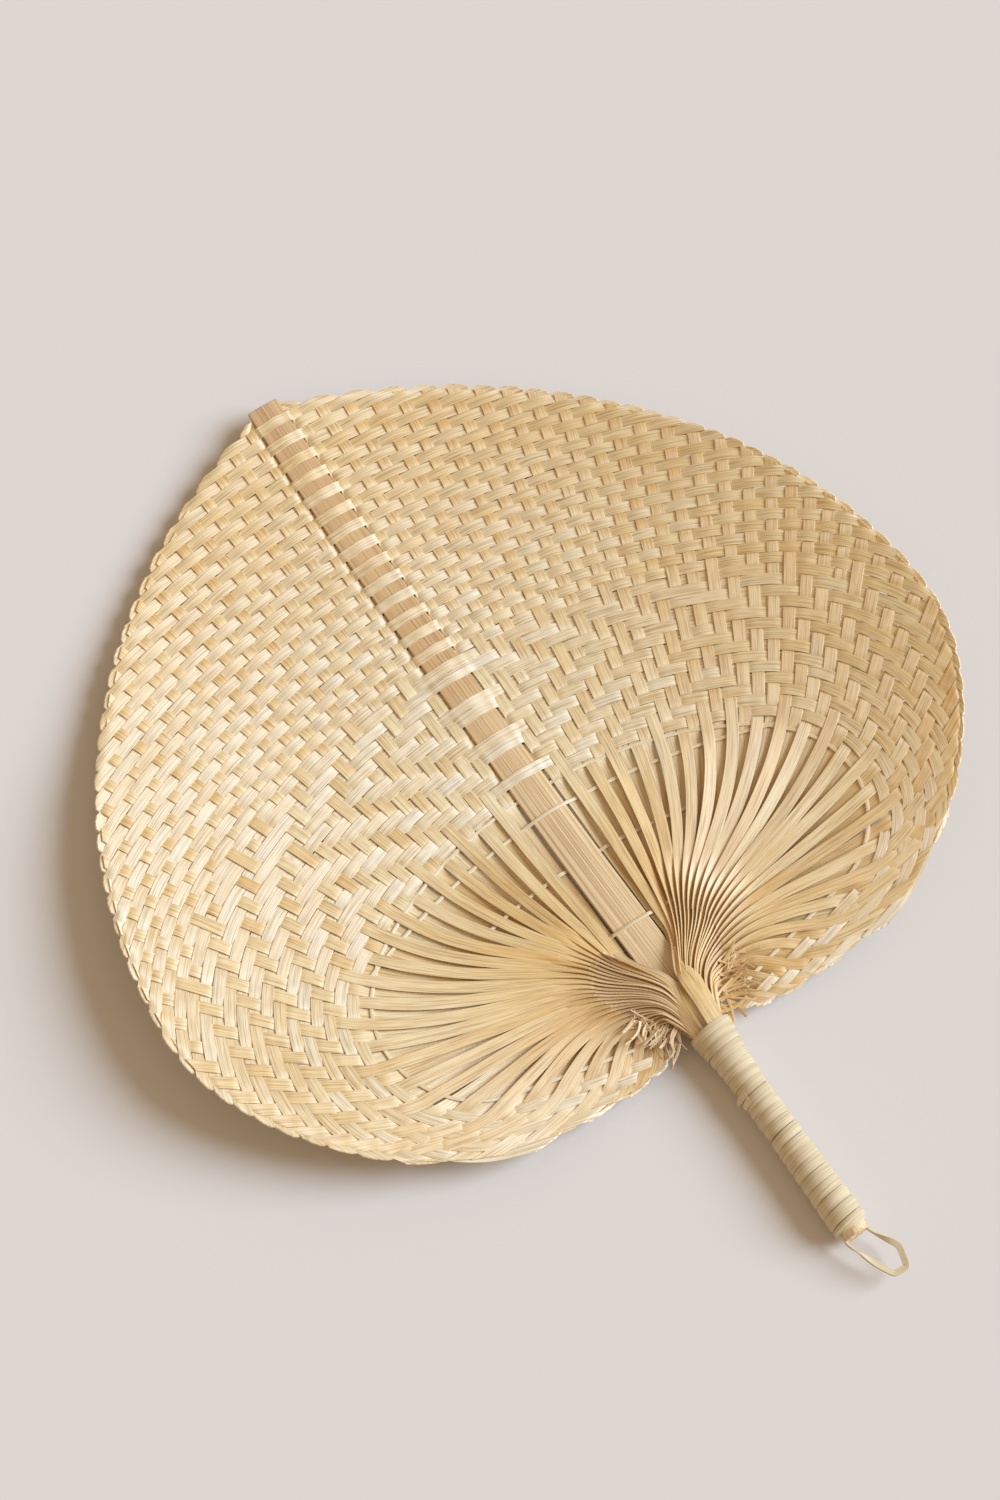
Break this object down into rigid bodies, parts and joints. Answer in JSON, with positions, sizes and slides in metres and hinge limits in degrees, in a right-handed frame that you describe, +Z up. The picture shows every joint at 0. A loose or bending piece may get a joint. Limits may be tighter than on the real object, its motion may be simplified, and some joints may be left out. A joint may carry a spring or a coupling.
{
  "type": "woven hand fan",
  "caption": "Heart-shaped hand fan woven from split bamboo strips on a flat central rib, dished, with a gathered throat, a strip-wrapped handle and a hang loop.",
  "frame": {"origin": "middle of the fan's outline, on the plane that its belly and grip lie on", "axes": "+Y along the rib from the handle to the tip, +X across the blade, +Z up out of the hollow front face"},
  "size_m": [0.3132, 0.3876, 0.0226],
  "materials": {
    "weft": "split bamboo, pale, satin",
    "warp": "split bamboo, golden tan, satin",
    "rib": "planed bamboo, tan, satin",
    "gather": "pleated bamboo strips, orange tan",
    "wrap": "bamboo skin strip, pale, satin",
    "loop": "bamboo strip, satin"
  },
  "bodies": {
    "fan": {"central_rib": "rib", "grip_wrap": "wrap", "gather_left": "gather", "gather_right": "gather", "throat_strap_left": "warp", "throat_strap_right": "warp", "warp_sheaf_left_1": "warp", "warp_sheaf_left_2": "warp", "warp_sheaf_left_3": "warp", "warp_sheaf_right_1": "warp", "warp_sheaf_right_2": "warp", "warp_sheaf_right_3": "warp", "splint_edge": "rib", "splint_upper": "rib", "splint_middle": "rib", "splint_lower": "rib", "weft_01": "weft", "weft_02": "weft", "weft_03": "weft", "weft_04": "weft", "weft_05": "weft", "weft_06": "weft", "weft_07": "weft", "weft_08": "weft", "weft_09": "weft", "weft_10": "weft", "weft_11": "weft", "weft_12": "weft", "weft_13": "weft", "weft_14": "weft", "weft_15": "weft", "weft_16": "weft", "weft_17": "weft", "weft_18": "weft", "weft_19": "weft", "weft_20": "weft", "weft_21": "weft", "weft_22": "weft", "weft_23": "weft", "weft_24": "weft", "weft_25": "weft", "weft_26": "weft", "weft_27": "weft", "weft_28": "weft", "weft_29": "weft", "weft_30": "weft", "weft_31": "weft", "weft_32": "weft", "weft_33": "weft", "weft_34": "weft", "weft_35": "weft", "weft_36": "weft", "weft_37": "weft", "weft_38": "weft", "weft_39": "weft", "weft_40": "weft", "weft_41": "weft", "weft_42": "weft", "weft_43": "weft"},
    "hang_loop": {"hang_loop": "loop"}
  },
  "joints": [
    {"name": "loop_flex", "type": "hinge", "parent": "fan", "child": "hang_loop", "pos_m": [0, -0.17675, 0.0072], "axis": [1, 0, 0], "range_deg": [-15, 15], "stiffness_Nm_per_rad": 0.001}
  ]
}
